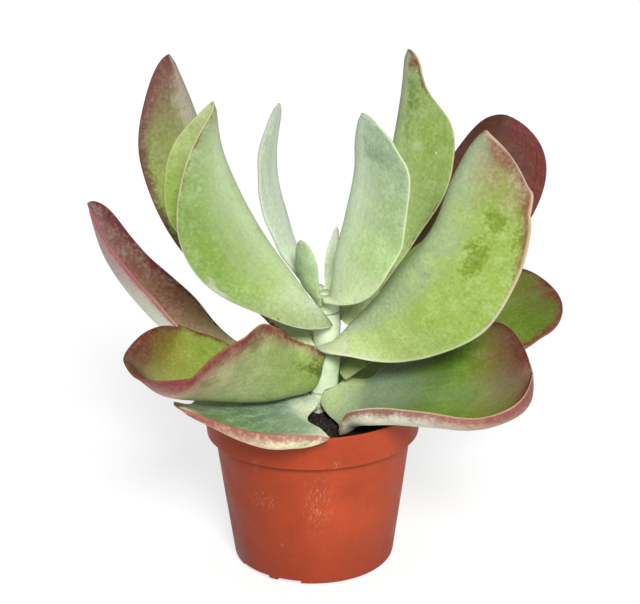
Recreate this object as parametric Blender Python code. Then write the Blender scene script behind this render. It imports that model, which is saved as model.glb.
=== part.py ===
"""Potted paddle plant: a tapered plastic pot with soil, a short stem and fourteen thick rounded leaves.

All named sizes are in millimetres. The pot stands on the plane z = 0 with its centre on the Z axis,
and the photograph looks along +Y. The leaves grow from the stem in opposite pairs, and pair 1 is the lowest.
"""
import math

import bmesh
import bpy
import numpy as np

MM = 0.001
GAP = 0.3                      # between pieces that touch

# Pot
POT_HEIGHT = 92.0
POT_TOP_RADIUS = 60.0
BASE_RADIUS = 44.2             # outside, above the rounded bottom corner
BODY_TOP_RADIUS = 53.8         # outside, just under the rim band
RIM_BOTTOM = 73.5              # height of the step under the rim band
RIM_BOTTOM_RADIUS = 58.0
WALL = 1.4
FLOOR_TOP = 4.4
POT_SIDES = 80
NOTCH_HEIGHT = 2.5             # drainage notches in the foot edge, in two opposite groups
NOTCH_DEPTH = 12.0
NOTCH_SPANS = [(-118.4, -99.6), (-154.0, -124.0)]    # degrees round the pot

# Soil
SOIL_TOP = 84.0
SOIL_CROWN = 85.0              # slightly raised round the stem
HOLE_RADIUS = 7.8
HOLE_BOTTOM = 73.7

# Stem: leans a little to the right above the soil
STEM_X = 6.0
STEM_LEAN = 2.8 / 66.0
STEM_BOTTOM = 74.0
STEM_PROFILE = [(7.5, 74), (7.5, 84), (7.2, 100), (8.0, 112), (7.2, 122), (7.6, 134), (6.2, 144), (5.0, 150)]
STEM_TOP = 152.0
STEM_SIDES = 24

# Leaves
LEAF_ROWS = 16                 # stations along a leaf
LEAF_COLS = 5                  # strips in each half of a leaf
LEAF_THICK = 4.0
EDGE_THICK = 1.4
BEND_WIDTH = 9.0               # width over which a half turns away from the midrib
SEAT_GAP = 0.5                 # between a leaf's foot and the stem
CLASP_REACH = 14.0             # distance from the stem over which a leaf's foot wraps round it
RIM_CLEARANCE = 2.3            # from the pot's rim to the middle of a leaf that lies over it

# Each leaf has a midrib from the stem through a few points, and a front and a back half.
# heading: direction in which the leaf leaves the stem, degrees from +X. foot: height where it does.
# width: half width, angle: slope of the half (up is positive), curl: extra turn of the margin,
# all as (share of the length, value). tip: where the end starts to round off, blunt: how square it is.
# hook: how close to the margin the curl stays. over_rim: the leaf lies over the pot's rim.
# thick, bend, rows and cols: own values for LEAF_THICK, BEND_WIDTH, LEAF_ROWS and LEAF_COLS.
LEAVES = {
    "leaf_pair1_left": dict(
        heading=205, foot=92, hook=9, over_rim=True, rows=24, cols=10,
        midrib=[(-20, -14, 92), (-36, -25, 94), (-54, -36, 98), (-70, -46, 105)],
        front=dict(width=[(0, 5), (.1, 13), (.2, 27), (.31, 56), (.45, 64), (.7, 57), (.87, 34), (1, 16)],
                   angle=[(0, 0), (.25, -2), (1, -4)],
                   curl=[(0, 0), (.24, 0), (.34, 60), (.45, 110), (1, 110)], tip=.8),
        back=dict(width=[(0, 9), (.3, 20), (.6, 27), (.85, 22), (1, 13)], angle=[(0, -12)], tip=.8)),
    "leaf_pair1_right": dict(
        heading=25, foot=94, blunt=2.7,
        midrib=[(49, 25, 97), (81, 38, 107), (110, 50, 125), (139, 58, 133)],
        front=dict(width=[(0, 8), (.3, 22), (.6, 34), (.85, 38), (1, 34)], angle=[(0, -10)], tip=.8),
        back=dict(width=[(0, 8), (.3, 22), (.6, 34), (.85, 34), (1, 30)], angle=[(0, 18)], tip=.8)),
    "leaf_pair2_left": dict(
        heading=160, foot=113,
        midrib=[(-34, 18, 101), (-68, 28, 112), (-95, 36, 135), (-113, 41, 161), (-122, 45, 191)],
        front=dict(width=[(0, 8), (.3, 18), (.6, 30), (.85, 27), (1, 16)],
                   angle=[(0, 10), (.5, 46), (1, 40)], tip=.75),
        back=dict(width=[(0, 8), (.3, 18), (.55, 28), (.8, 22), (1, 20)],
                  angle=[(0, 20), (.5, 31), (1, 30)], tip=.75)),
    "leaf_pair2_right": dict(
        heading=-20, foot=98, blunt=3.2,
        midrib=[(23, -10, 95), (36, -19, 98), (64, -34, 103), (92, -42, 109), (113, -46, 123)],
        front=dict(width=[(0, 10), (.05, 11), (.1, 17), (.17, 33), (.25, 42), (.45, 44), (.6, 44), (.85, 45), (1, 42)],
                   angle=[(0, -5), (.12, -22), (.3, -12), (.6, -15), (.8, -24), (1, -30)],
                   curl=[(0, 0), (.14, 0), (.25, 95), (.3, 100), (1, 92)], tip=.86),
        back=dict(width=[(0, 9), (.1, 18), (.28, 37), (.6, 50), (.85, 54), (1, 52)],
                  angle=[(0, 20), (.6, 26), (1, 30)], tip=.8)),
    "leaf_pair3_left": dict(
        heading=195, foot=98, blunt=3.4,
        midrib=[(-23, -22, 100), (-51, -34, 105), (-78, -42, 113), (-96, -46, 133)],
        front=dict(width=[(0, 15.8), (.05, 22), (.1, 28), (.2, 36), (.32, 46), (.42, 51.5), (.55, 48), (.8, 42), (1, 40)],
                   angle=[(0, 62), (.1, 80), (.35, 75), (.6, 46), (.8, 14), (1, 0)],
                   curl=[(0, 0), (.6, 30), (.85, 72), (1, -10)], tip=.8),
        back=dict(width=[(0, 10), (.3, 35), (.6, 43), (.85, 42), (1, 44)],
                  angle=[(0, 4), (.3, 30), (.5, 38), (1, 50)], tip=.66)),
    "leaf_pair3_right": dict(
        heading=20, foot=106, blunt=2.6,
        midrib=[(46, 18, 141), (73, 28, 176), (95, 36, 208), (109, 42, 237)],
        front=dict(width=[(0, 9), (.3, 22), (.6, 34), (.85, 36), (1, 38)],
                   angle=[(0, -40), (.5, -50), (1, -50)], tip=.7),
        back=dict(width=[(0, 8), (.3, 20), (.6, 28), (.85, 30), (1, 32)],
                  angle=[(0, -30), (.5, 8), (1, 12)], tip=.7)),
    "leaf_pair4_left": dict(
        heading=150, foot=124,
        midrib=[(-27, 16, 148), (-44, 30, 178), (-56, 40, 215), (-66, 47, 246), (-76, 52, 271)],
        front=dict(width=[(0, 10), (.05, 12), (.1, 12.3), (.16, 11.5), (.21, 13), (.27, 20), (.33, 24.2), (.6, 36), (.85, 32), (1, 24)],
                   angle=[(0, -20), (.5, -48), (1, -48)], tip=.7),
        back=dict(width=[(0, 8), (.3, 20), (.6, 36), (.85, 32), (1, 20)], angle=[(0, -40), (1, -60)],
                  tip=.7)),
    "leaf_pair4_right": dict(
        heading=-27, foot=124,
        midrib=[(21, -10, 134), (32, -17, 146), (48, -29, 170), (63, -39, 196), (73, -46, 226),
                (80, -48, 240), (87, -49, 249)],
        front=dict(width=[(0, 14), (.06, 16), (.12, 23), (.25, 38), (.42, 50), (.62, 48.5), (.74, 45), (.86, 43), (1, 52)],
                   angle=[(0, 0), (.12, -70), (.25, -90), (.4, -95), (1, -105)], tip=.66, blunt=3.6),
        back=dict(width=[(0, 5), (.1, 8), (.3, 22), (.6, 34), (.85, 24), (1, 10)],
                  angle=[(0, -12), (.35, 16), (.6, -8), (1, -10)], tip=.75)),
    "leaf_pair5_left": dict(
        heading=215, foot=140,
        midrib=[(-7, -17, 160), (-24, -25, 188), (-37, -32, 216), (-45, -37, 241), (-47, -39, 263)],
        front=dict(width=[(0, 12), (.2, 25), (.45, 40), (.7, 34), (.9, 16), (1, 9)],
                   angle=[(0, -30), (.12, -70), (.3, -100), (1, -90)], tip=.8),
        back=dict(width=[(0, 8), (.3, 28), (.6, 42), (.85, 26), (1, 9)],
                  angle=[(0, -40), (.5, -46), (1, -65)], tip=.8)),
    "leaf_pair5_right": dict(
        heading=35, foot=135,
        midrib=[(29, 21, 162), (41, 32, 194), (48, 40, 225), (52, 46, 249), (54, 50, 273)],
        front=dict(width=[(0, 11), (.12, 16), (.35, 25), (.6, 35), (.76, 29), (.86, 14), (.94, 9), (1, 7)],
                   angle=[(0, -20), (1, -35)], tip=.94),
        back=dict(width=[(0, 8), (.35, 22), (.65, 30), (.85, 20), (1, 8)], angle=[(0, -40), (1, -55)],
                  tip=.8)),
    "leaf_pair6_left": dict(
        heading=145, foot=149,
        midrib=[(-4, 11, 160), (-14, 18, 184), (-20, 24, 216), (-16, 30, 248)],
        front=dict(width=[(0, 3), (.5, 22), (.8, 17), (1, 10)], angle=[(0, 0), (.5, 14), (1, 0)], tip=.6),
        back=dict(width=[(0, 4), (.5, 26), (.8, 22), (1, 14)], angle=[(0, -35)], tip=.6)),
    "leaf_pair6_right": dict(
        heading=-40, foot=149,
        midrib=[(14, -15, 173), (20, -21, 202), (24, -25, 227), (24, -27, 241), (26, -28, 254)],
        front=dict(width=[(0, 5.5), (.08, 14), (.2, 29), (.45, 39), (.7, 38), (1, 40)],
                   angle=[(0, -30), (.15, -70), (.4, -85), (1, -85)], tip=.7, blunt=2.3),
        back=dict(width=[(0, 5), (.15, 12), (.3, 23), (.6, 27), (1, 20)], angle=[(0, -40), (1, -25)],
                  tip=.7)),
    "leaf_pair7_left": dict(
        heading=232, foot=146, thick=2.6, bend=6,
        midrib=[(-1, -9, 159), (-3, -11, 172), (-5, -12, 184)],
        front=dict(width=[(0, 1.5), (.5, 6.8), (1, 6)], angle=[(0, 10)], tip=.6),
        back=dict(width=[(0, 1.5), (.5, 6.8), (1, 6)], angle=[(0, 10)], tip=.6)),
    "leaf_pair7_right": dict(
        heading=60, foot=149, thick=2.4, bend=4,
        midrib=[(11, 9, 155), (12, 11, 169), (14, 13, 184)],
        front=dict(width=[(0, 3), (.4, 4.5), (1, 2)], angle=[(0, 0)], tip=.6),
        back=dict(width=[(0, 3), (.4, 4.5), (1, 2)], angle=[(0, 0)], tip=.6)),
}

# Base colours, linear: the lower leaves are redder and the upper ones paler
POT_COLOUR = (0.42, 0.085, 0.035)
SOIL_COLOUR = (0.018, 0.013, 0.010)
STEM_COLOUR = (0.52, 0.68, 0.47)
LEAF_COLOUR = {1: (0.38, 0.48, 0.30), 2: (0.30, 0.36, 0.19), 3: (0.24, 0.26, 0.13), 4: (0.36, 0.49, 0.19),
               5: (0.42, 0.56, 0.29), 6: (0.47, 0.62, 0.38), 7: (0.50, 0.64, 0.40)}


def clear_scene():
    for obj in list(bpy.data.objects):
        bpy.data.objects.remove(obj, do_unlink=True)


def material(name, colour, roughness):
    mat = bpy.data.materials.new(name)
    mat.use_nodes = True
    shader = mat.node_tree.nodes["Principled BSDF"]
    shader.inputs["Base Color"].default_value = (*colour, 1.0)
    shader.inputs["Roughness"].default_value = roughness
    return mat


def add_object(name, points, faces, mat):
    """One named object from points in millimetres, shaded smooth except across sharp corners."""
    mesh = bpy.data.meshes.new(name)
    mesh.from_pydata([tuple(float(c) * MM for c in p) for p in points], [], [tuple(map(int, f)) for f in faces])
    obj = bpy.data.objects.new(name, mesh)
    bpy.context.scene.collection.objects.link(obj)
    mesh.materials.append(mat)
    shade(mesh)
    return obj


def shade(mesh, corner=40):
    bm = bmesh.new()
    bm.from_mesh(mesh)
    bmesh.ops.recalc_face_normals(bm, faces=bm.faces)
    for face in bm.faces:
        face.smooth = True
    for edge in bm.edges:
        edge.smooth = edge.calc_face_angle(0.0) < math.radians(corner)
    bm.to_mesh(mesh)
    bm.free()


def turned(profile, sides, centre_x=None):
    """Closed turned solid. The profile is (radius, height) from the bottom pole to the top pole."""
    centre_x = centre_x or (lambda z: 0.0)
    turn = [2 * math.pi * k / sides for k in range(sides)]
    points = [(centre_x(profile[0][1]), 0.0, profile[0][1])]
    for radius, z in profile[1:-1]:
        points += [(centre_x(z) + radius * math.cos(t), radius * math.sin(t), z) for t in turn]
    points.append((centre_x(profile[-1][1]), 0.0, profile[-1][1]))
    top = len(points) - 1
    faces = [(0, 1 + (k + 1) % sides, 1 + k) for k in range(sides)]
    for ring in range(len(profile) - 3):
        low = 1 + ring * sides
        for k in range(sides):
            a, b = low + k, low + (k + 1) % sides
            faces.append((a, b, b + sides, a + sides))
    last = top - sides
    faces += [(last + k, last + (k + 1) % sides, top) for k in range(sides)]
    return points, faces


def pot_inside(offset=0.0):
    """Inner profile of the pot from the wall foot to the lip, moved inwards by an offset."""
    ledge = RIM_BOTTOM + WALL
    return [(BASE_RADIUS - WALL - 1.6 - offset, FLOOR_TOP + offset),
            (BASE_RADIUS - WALL + 0.2 - offset, FLOOR_TOP + 1.8 + offset),
            (BODY_TOP_RADIUS - WALL - offset, ledge - 0.8 + offset),
            (BODY_TOP_RADIUS - WALL + 0.8 - offset, ledge + offset),
            (RIM_BOTTOM_RADIUS - WALL - 0.8 - offset, ledge + offset),
            (RIM_BOTTOM_RADIUS - WALL - offset, ledge + 0.8 + offset)]


def pot_radius(z):
    """Inner radius of the rim band at a height."""
    share = (z - RIM_BOTTOM) / (POT_HEIGHT - RIM_BOTTOM)
    return RIM_BOTTOM_RADIUS + share * (POT_TOP_RADIUS - RIM_BOTTOM_RADIUS) - WALL


def make_pot():
    outside = [(0, 0), (BASE_RADIUS - 2.4, 0), (BASE_RADIUS - 1.0, 0.6), (BASE_RADIUS - 0.2, 1.6),
               (BASE_RADIUS + 0.2, 3.2), (49.2, 38.0), (BODY_TOP_RADIUS, RIM_BOTTOM),
               (RIM_BOTTOM_RADIUS - 0.6, RIM_BOTTOM), (RIM_BOTTOM_RADIUS, RIM_BOTTOM + 0.6),
               (POT_TOP_RADIUS - 0.1, POT_HEIGHT - 1.0), (POT_TOP_RADIUS - 0.4, POT_HEIGHT - 0.2),
               (POT_TOP_RADIUS - 0.8, POT_HEIGHT), (POT_TOP_RADIUS - WALL, POT_HEIGHT - 0.4)]
    inside = list(reversed(pot_inside()))
    points, faces = turned(outside + inside + [(0, FLOOR_TOP)], POT_SIDES)
    pot = add_object("pot", points, faces, material("pot", POT_COLOUR, 0.55))
    cut = bpy.data.collections.new("cutters")
    bpy.context.scene.collection.children.link(cut)
    for turn in (0, 180):
        for start, end in NOTCH_SPANS:
            cut.objects.link(notch_cutter(start + turn, end + turn))
    boolean = pot.modifiers.new("notches", "BOOLEAN")
    boolean.operation = "DIFFERENCE"
    boolean.solver = "EXACT"
    boolean.operand_type = "COLLECTION"
    boolean.collection = cut


def notch_cutter(start, end):
    """Wedge under the foot edge, between two directions round the pot."""
    inner, outer = BASE_RADIUS - NOTCH_DEPTH, BASE_RADIUS + 6
    steps = 6
    turn = [math.radians(start + (end - start) * k / steps) for k in range(steps + 1)]
    plan = [(outer * math.cos(t), outer * math.sin(t)) for t in turn]
    plan += [(inner * math.cos(t), inner * math.sin(t)) for t in reversed(turn)]
    count = len(plan)
    points = [(x, y, z) for z in (-2.0, NOTCH_HEIGHT) for x, y in plan]
    faces = [tuple(reversed(range(count))), tuple(range(count, 2 * count))]
    faces += [(k, (k + 1) % count, (k + 1) % count + count, k + count) for k in range(count)]
    mesh = bpy.data.meshes.new("notch")
    mesh.from_pydata([tuple(c * MM for c in p) for p in points], [], faces)
    cutter = bpy.data.objects.new("notch", mesh)
    cutter.hide_render = True
    cutter.display_type = "WIRE"
    return cutter


def make_soil():
    """Soil that fills the pot, with a plain round hole for the stem."""
    edge = pot_radius(SOIL_TOP) - GAP
    top = [(edge, SOIL_TOP), (edge - 4, SOIL_TOP), (24, SOIL_CROWN), (0, SOIL_CROWN)]
    points, faces = turned([(0, FLOOR_TOP + GAP)] + pot_inside(GAP) + top, 48)
    soil = add_object("soil", points, faces, material("soil", SOIL_COLOUR, 0.95))
    hole_profile = [(0, HOLE_BOTTOM), (HOLE_RADIUS, HOLE_BOTTOM), (HOLE_RADIUS, SOIL_CROWN + 5), (0, SOIL_CROWN + 5)]
    hole_points, hole_faces = turned(hole_profile, STEM_SIDES)
    mesh = bpy.data.meshes.new("stem_hole")
    mesh.from_pydata([((x + STEM_X) * MM, y * MM, z * MM) for x, y, z in hole_points], [], hole_faces)
    cutter = bpy.data.objects.new("stem_hole", mesh)
    bpy.context.scene.collection.objects.link(cutter)
    cutter.hide_render = True
    cutter.display_type = "WIRE"
    boolean = soil.modifiers.new("hole", "BOOLEAN")
    boolean.operation = "DIFFERENCE"
    boolean.solver = "EXACT"
    boolean.object = cutter


def stem_centre(z):
    return STEM_X + STEM_LEAN * np.maximum(z - SOIL_TOP, 0)


def stem_radius(z):
    """Radius of the stem at a height."""
    return np.interp(z, [p[1] for p in STEM_PROFILE], [p[0] for p in STEM_PROFILE])


def make_stem():
    profile = [(0, STEM_BOTTOM)] + STEM_PROFILE + [(0, STEM_TOP)]
    points, faces = turned(profile, STEM_SIDES, stem_centre)
    add_object("stem", points, faces, material("stem", STEM_COLOUR, 0.6))


def through(keys, share):
    """Smooth curve through a few (share, value) keys."""
    at = np.array([k[0] for k in keys], float)
    value = np.array([k[1] for k in keys], float)
    if len(at) == 1:
        return np.full_like(share, value[0])
    slope = np.gradient(value, at)
    i = np.clip(np.searchsorted(at, share) - 1, 0, len(at) - 2)
    span = at[i + 1] - at[i]
    t = np.clip((share - at[i]) / span, 0, 1)
    return ((2 * t**3 - 3 * t**2 + 1) * value[i] + (t**3 - 2 * t**2 + t) * span * slope[i]
            + (3 * t**2 - 2 * t**3) * value[i + 1] + (t**3 - t**2) * span * slope[i + 1])


def along(points, share):
    """Points at shares of the length of a smooth curve through a few points."""
    p = np.array(points, float)
    chord = np.r_[0, np.cumsum(np.linalg.norm(np.diff(p, axis=0), axis=1))]
    chord /= chord[-1]
    fine = np.linspace(0, 1, 201)
    curve = np.stack([through(list(zip(chord, p[:, k])), fine) for k in range(3)], -1)
    length = np.r_[0, np.cumsum(np.linalg.norm(np.diff(curve, axis=0), axis=1))]
    length /= length[-1]
    return np.stack([np.interp(share, length, curve[:, k]) for k in range(3)], -1)


def foot_point(leaf):
    """Point where the midrib leaves the stem."""
    z, turn = leaf["foot"], math.radians(leaf["heading"])
    reach = stem_radius(z) + SEAT_GAP
    return stem_centre(z) + reach * math.cos(turn), reach * math.sin(turn), z


def half_width(half, share, blunt):
    """Half width along the leaf, closed by a rounded tip."""
    t = np.clip((share - half["tip"]) / (1 - half["tip"]), 0, 1)
    return through(half["width"], share) * np.sqrt(1 - t**half.get("blunt", blunt))


def leaf_frame(leaf, share):
    """Midrib points with the direction across the leaf, to the front, and the upper side's normal."""
    centre = along([foot_point(leaf)] + leaf["midrib"], share)
    tangent = np.gradient(centre, share, axis=0)
    tangent /= np.linalg.norm(tangent, axis=1)[:, None]
    heading = math.radians(leaf["heading"])
    out = np.array([math.cos(heading), math.sin(heading), 0])
    side = np.array([math.sin(heading), -math.cos(heading), 0])
    side = -side if side[1] > 0 else side
    across = side - (tangent @ side)[:, None] * tangent
    across /= np.linalg.norm(across, axis=1)[:, None]
    normal = np.cross(across, tangent)
    normal *= np.sign(normal @ (np.array([0, 0, 1.0]) - out))[:, None]
    return centre, across, normal


def leaf_surface(leaf, rows, cols):
    """Middle surface of a leaf: points and normals on a grid from the back margin to the front one."""
    share = (1 - np.cos(math.pi * np.linspace(0, 1, rows + 1))) / 2
    share[-1] = 0.9995
    centre, across, normal = leaf_frame(leaf, share)
    fine = np.linspace(0, 1, 8 * cols + 1)
    fine = (fine - 0.5 * np.sin(2 * math.pi * fine) / (2 * math.pi))[None]
    front = np.radians(through(leaf["front"]["angle"], share))[:, None]
    back = np.radians(through(leaf["back"]["angle"], share))[:, None]
    middle = (front - back) / 2
    halves = []
    for side, half, end in ((-1, leaf["back"], -back), (1, leaf["front"], front)):
        width = fine * half_width(half, share, leaf.get("blunt", 2.0))[:, None]
        turn = np.clip(width / leaf.get("bend", BEND_WIDTH), 0, 1)
        curl = side * np.radians(through(half.get("curl", [(0, 0)]), share))[:, None]
        slope = middle + (end - middle) * turn * (2 - turn) + curl * fine**leaf.get("hook", 3)
        step = np.diff(width, axis=1)
        run = running_sum(np.cos(slope), step)[:, ::8]
        rise = running_sum(np.sin(slope), step)[:, ::8]
        slope = slope[:, ::8, None]
        point = centre[:, None] + side * (run[..., None] * across[:, None] + rise[..., None] * normal[:, None])
        halves.append((point, np.cos(slope) * normal[:, None] - np.sin(slope) * across[:, None]))
    points = np.concatenate([halves[0][0][:, :0:-1], halves[1][0]], 1)
    normals = np.concatenate([halves[0][1][:, :0:-1], halves[1][1]], 1)
    return share, points, normals


def running_sum(value, step):
    middle = (value[:, 1:] + value[:, :-1]) / 2
    return np.concatenate([np.zeros((len(value), 1)), np.cumsum(middle * step, 1)], 1)


def leaf_thickness(leaf, share, cols):
    """Half thickness on the same grid, thickest at the midrib's foot."""
    v = np.abs(np.linspace(-1, 1, 2 * cols + 1))[None]
    v = v - 0.5 * np.sin(2 * math.pi * v) / (2 * math.pi)
    body = leaf.get("thick", LEAF_THICK) * (1 - 0.45 * share**2)[:, None]
    thin = np.clip((1 - share) / 0.03, 0.5, 1)[:, None]
    return (EDGE_THICK + (body - EDGE_THICK) * (1 - v**3)) * thin / 2


def seat_leaf(leaf, points):
    """Wrap a leaf's foot round the stem, and keep the leaf clear of the stem, the soil and the rim."""
    x, y, z = points.T
    x = x - stem_centre(z)
    radius = stem_radius(z) + SEAT_GAP
    turn = math.radians(leaf["heading"])
    out, beside = x * math.cos(turn) + y * math.sin(turn), y * math.cos(turn) - x * math.sin(turn)
    away = np.maximum(out - radius, 0)
    hold = np.clip(1 - away / CLASP_REACH, 0, 1)**2 * (z < STEM_TOP)
    hold = hold * np.clip(2 - np.abs(beside) / CLASP_REACH, 0, 1)
    wrapped = turn + beside / radius
    x += hold * ((radius + away) * np.cos(wrapped) - x)
    y = y + hold * ((radius + away) * np.sin(wrapped) - y)
    distance = np.maximum(np.hypot(x, y), 1e-6)
    push = np.maximum(distance, radius * (z < STEM_TOP + GAP)) / distance
    x, y = stem_centre(z) + x * push, y * push
    middle = (c.reshape(2, -1).mean(0) for c in (x, y, z))
    return np.stack([x, y, z + np.tile(lift_leaf(leaf, *middle), 2)], -1)


def lift_leaf(leaf, x, y, z):
    """How far a leaf's middle rises to clear the soil and the pot's rim."""
    lift = np.maximum(SOIL_CROWN + 2.5 - z, 0)
    if leaf.get("over_rim"):
        from_axis = np.hypot(x, y)
        inside = np.clip((from_axis - POT_TOP_RADIUS + 26) / 18, 0, 1)
        outside = np.clip((POT_TOP_RADIUS + 3 * RIM_CLEARANCE - from_axis) / RIM_CLEARANCE, 0, 1)
        lift = np.maximum(lift, inside * outside * (POT_HEIGHT + RIM_CLEARANCE - z))
    return lift


def leaf_solid(leaf, rows, cols):
    """Closed leaf with the same triangles on its upper and lower face."""
    share, middle, normal = leaf_surface(leaf, rows, cols)
    half = leaf_thickness(leaf, share, cols)[..., None]
    points = np.concatenate([(middle + normal * half).reshape(-1, 3), (middle - normal * half).reshape(-1, 3)])
    index = np.arange(middle.shape[0] * middle.shape[1]).reshape(middle.shape[:2])
    below = index.size
    a, b, c, d = (part.ravel() for part in (index[:-1, :-1], index[:-1, 1:], index[1:, 1:], index[1:, :-1]))
    faces = [np.stack([a, b, c], -1), np.stack([a, c, d], -1)]
    faces += [np.stack([a, c, b], -1) + below, np.stack([a, d, c], -1) + below]
    ring = np.r_[index[0, :], index[1:, -1], index[-1, -2::-1], index[-2:0:-1, 0]]
    after = np.roll(ring, -1)
    faces += [np.stack([ring, ring + below, after + below], -1), np.stack([ring, after + below, after], -1)]
    return seat_leaf(leaf, points), np.concatenate(faces)


def make_leaves():
    for name, leaf in LEAVES.items():
        points, faces = leaf_solid(leaf, leaf.get("rows", LEAF_ROWS), leaf.get("cols", LEAF_COLS))
        pair = int(name[len("leaf_pair")])
        add_object(name, points, faces, material(name, LEAF_COLOUR[pair], 0.5))


clear_scene()
make_pot()
make_soil()
make_stem()
make_leaves()
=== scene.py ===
import math
import random

import bpy
import numpy as np
from mathutils import Matrix, Vector


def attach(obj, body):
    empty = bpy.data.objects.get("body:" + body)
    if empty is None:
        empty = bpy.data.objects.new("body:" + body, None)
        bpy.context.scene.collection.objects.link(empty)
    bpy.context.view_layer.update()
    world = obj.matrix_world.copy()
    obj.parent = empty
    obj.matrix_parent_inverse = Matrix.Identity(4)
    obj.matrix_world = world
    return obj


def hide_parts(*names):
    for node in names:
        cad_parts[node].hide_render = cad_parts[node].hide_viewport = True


# Sizes are in millimetres, in the object's own frame, and become metres in add_piece.
# Places in the materials are in metres.
MM = 0.001
GAP = 0.3

# Pot
POT_HEIGHT = 92.0
POT_TOP_RADIUS = 60.0
POT_FLOOR_TOP = 4.4

# Soil: its side goes up over two rings, and its top rises to a low crown with lumps and crumbs
SOIL_BOTTOM = POT_FLOOR_TOP + 1.0
SOIL_RADIUS = 57.3
SOIL_FOOT_RADIUS = 41.0
SOIL_WAIST_RADIUS = 51.5
SOIL_WAIST = 72.0
SOIL_TOP = 84.0
SOIL_CROWN = 85.0
SOIL_CROWN_RADIUS = 50.0
SOIL_LUMP = 0.25
SOIL_CRUMB = 0.35
SOIL_SEED = 4
SOIL_SIDES = 160
SOIL_RINGS = 44

# Stem: profile as (radius, height)
STEM_X = 6.0
STEM_LEAN = 2.8 / 66.0
STEM_BOTTOM = 74.0
STEM_SHOULDER = 151.5
STEM_TOP = 152.0
STEM_SIDES = 72
STEM_RINGS = 160
STEM_PROFILE = [(7.5, 74), (7.5, 84), (7.2, 100), (8.0, 112), (7.2, 122), (7.6, 134), (6.2, 144),
                (5.0, 150)]

# Marks of old leaves round the stem: height where x is 0, in metres, and fall per metre along x
LEAF_SCARS = [(0.0955, 0.0), (0.0850, -0.55), (0.1200, 0.25), (0.1400, -0.1)]

# Leaf grid: rows along a leaf, columns on each half, and height of the slight waves. The small leaves
# of the top pair have their own.
LEAF_ROWS = 110
LEAF_COLS = 24
LEAF_WAVE = 0.9
SMALL_PAIR = "leaf_pair7"
SMALL_ROWS = 60
SMALL_COLS = 12
SMALL_WAVE = 0.3
FINER_STEPS = 8                # steps within each column when a half is rolled out
TIP_END = 0.9995               # where the last row lies, so that the tip isn't a point

# Leaf thickness, and the width over which a half bends away from the midrib
LEAF_THICK = 4.0
EDGE_THICK = 1.4
TIP_THINNING = 0.45            # share of the thickness that is lost towards the tip
TIP_TAPER = 0.03               # share of the length over which the tip then thins out
TIP_LEFT = 0.3                 # share of the thickness that is left at its end
MARGIN_LEFT = 0.45             # share of EDGE_THICK that is left at the very margin
BEND_WIDTH = 9.0

# How leaves sit
SEAT_GAP = 0.5                 # between a leaf's foot and the stem
CLASP_REACH = 14.0             # distance from the stem over which a leaf's foot wraps round it
SOIL_CLEARANCE = 2.5           # from the soil to a leaf's middle
RIM_CLEARANCE = 2.3            # from the pot's rim to the middle of a leaf that lies over it
RIM_START = 26.0               # how far inside the rim such a leaf starts to rise
RIM_RUN = 18.0                 # length of that rise

# Camera, in millimetres and degrees; the focal length is for a 36 mm wide sensor
CAMERA_AT = (0.0, -825.0, 419.6)
CAMERA_AIM = (4.6, 0.0, 146.0)
CAMERA_ROLL = -0.54
CAMERA_LENS = 91.3
SENSOR_WIDTH = 36.0

# Light: a soft key lamp in front, turned from the front and raised by these degrees, and an even sky
KEY_TURN = 9.0
KEY_RISE = 36.0
KEY_SIZE = 18.0
KEY_STRENGTH = 3.6
SKY_STRENGTH = 0.35

# Floor, in metres: it lies just below the pot's foot and glows a little, as a lit white sweep does
FLOOR_REACH = 6.0
FLOOR_DROP = 0.0003
FLOOR_COLOUR = (0.33, 0.33, 0.33)
FLOOR_GLOW = 0.69

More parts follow.
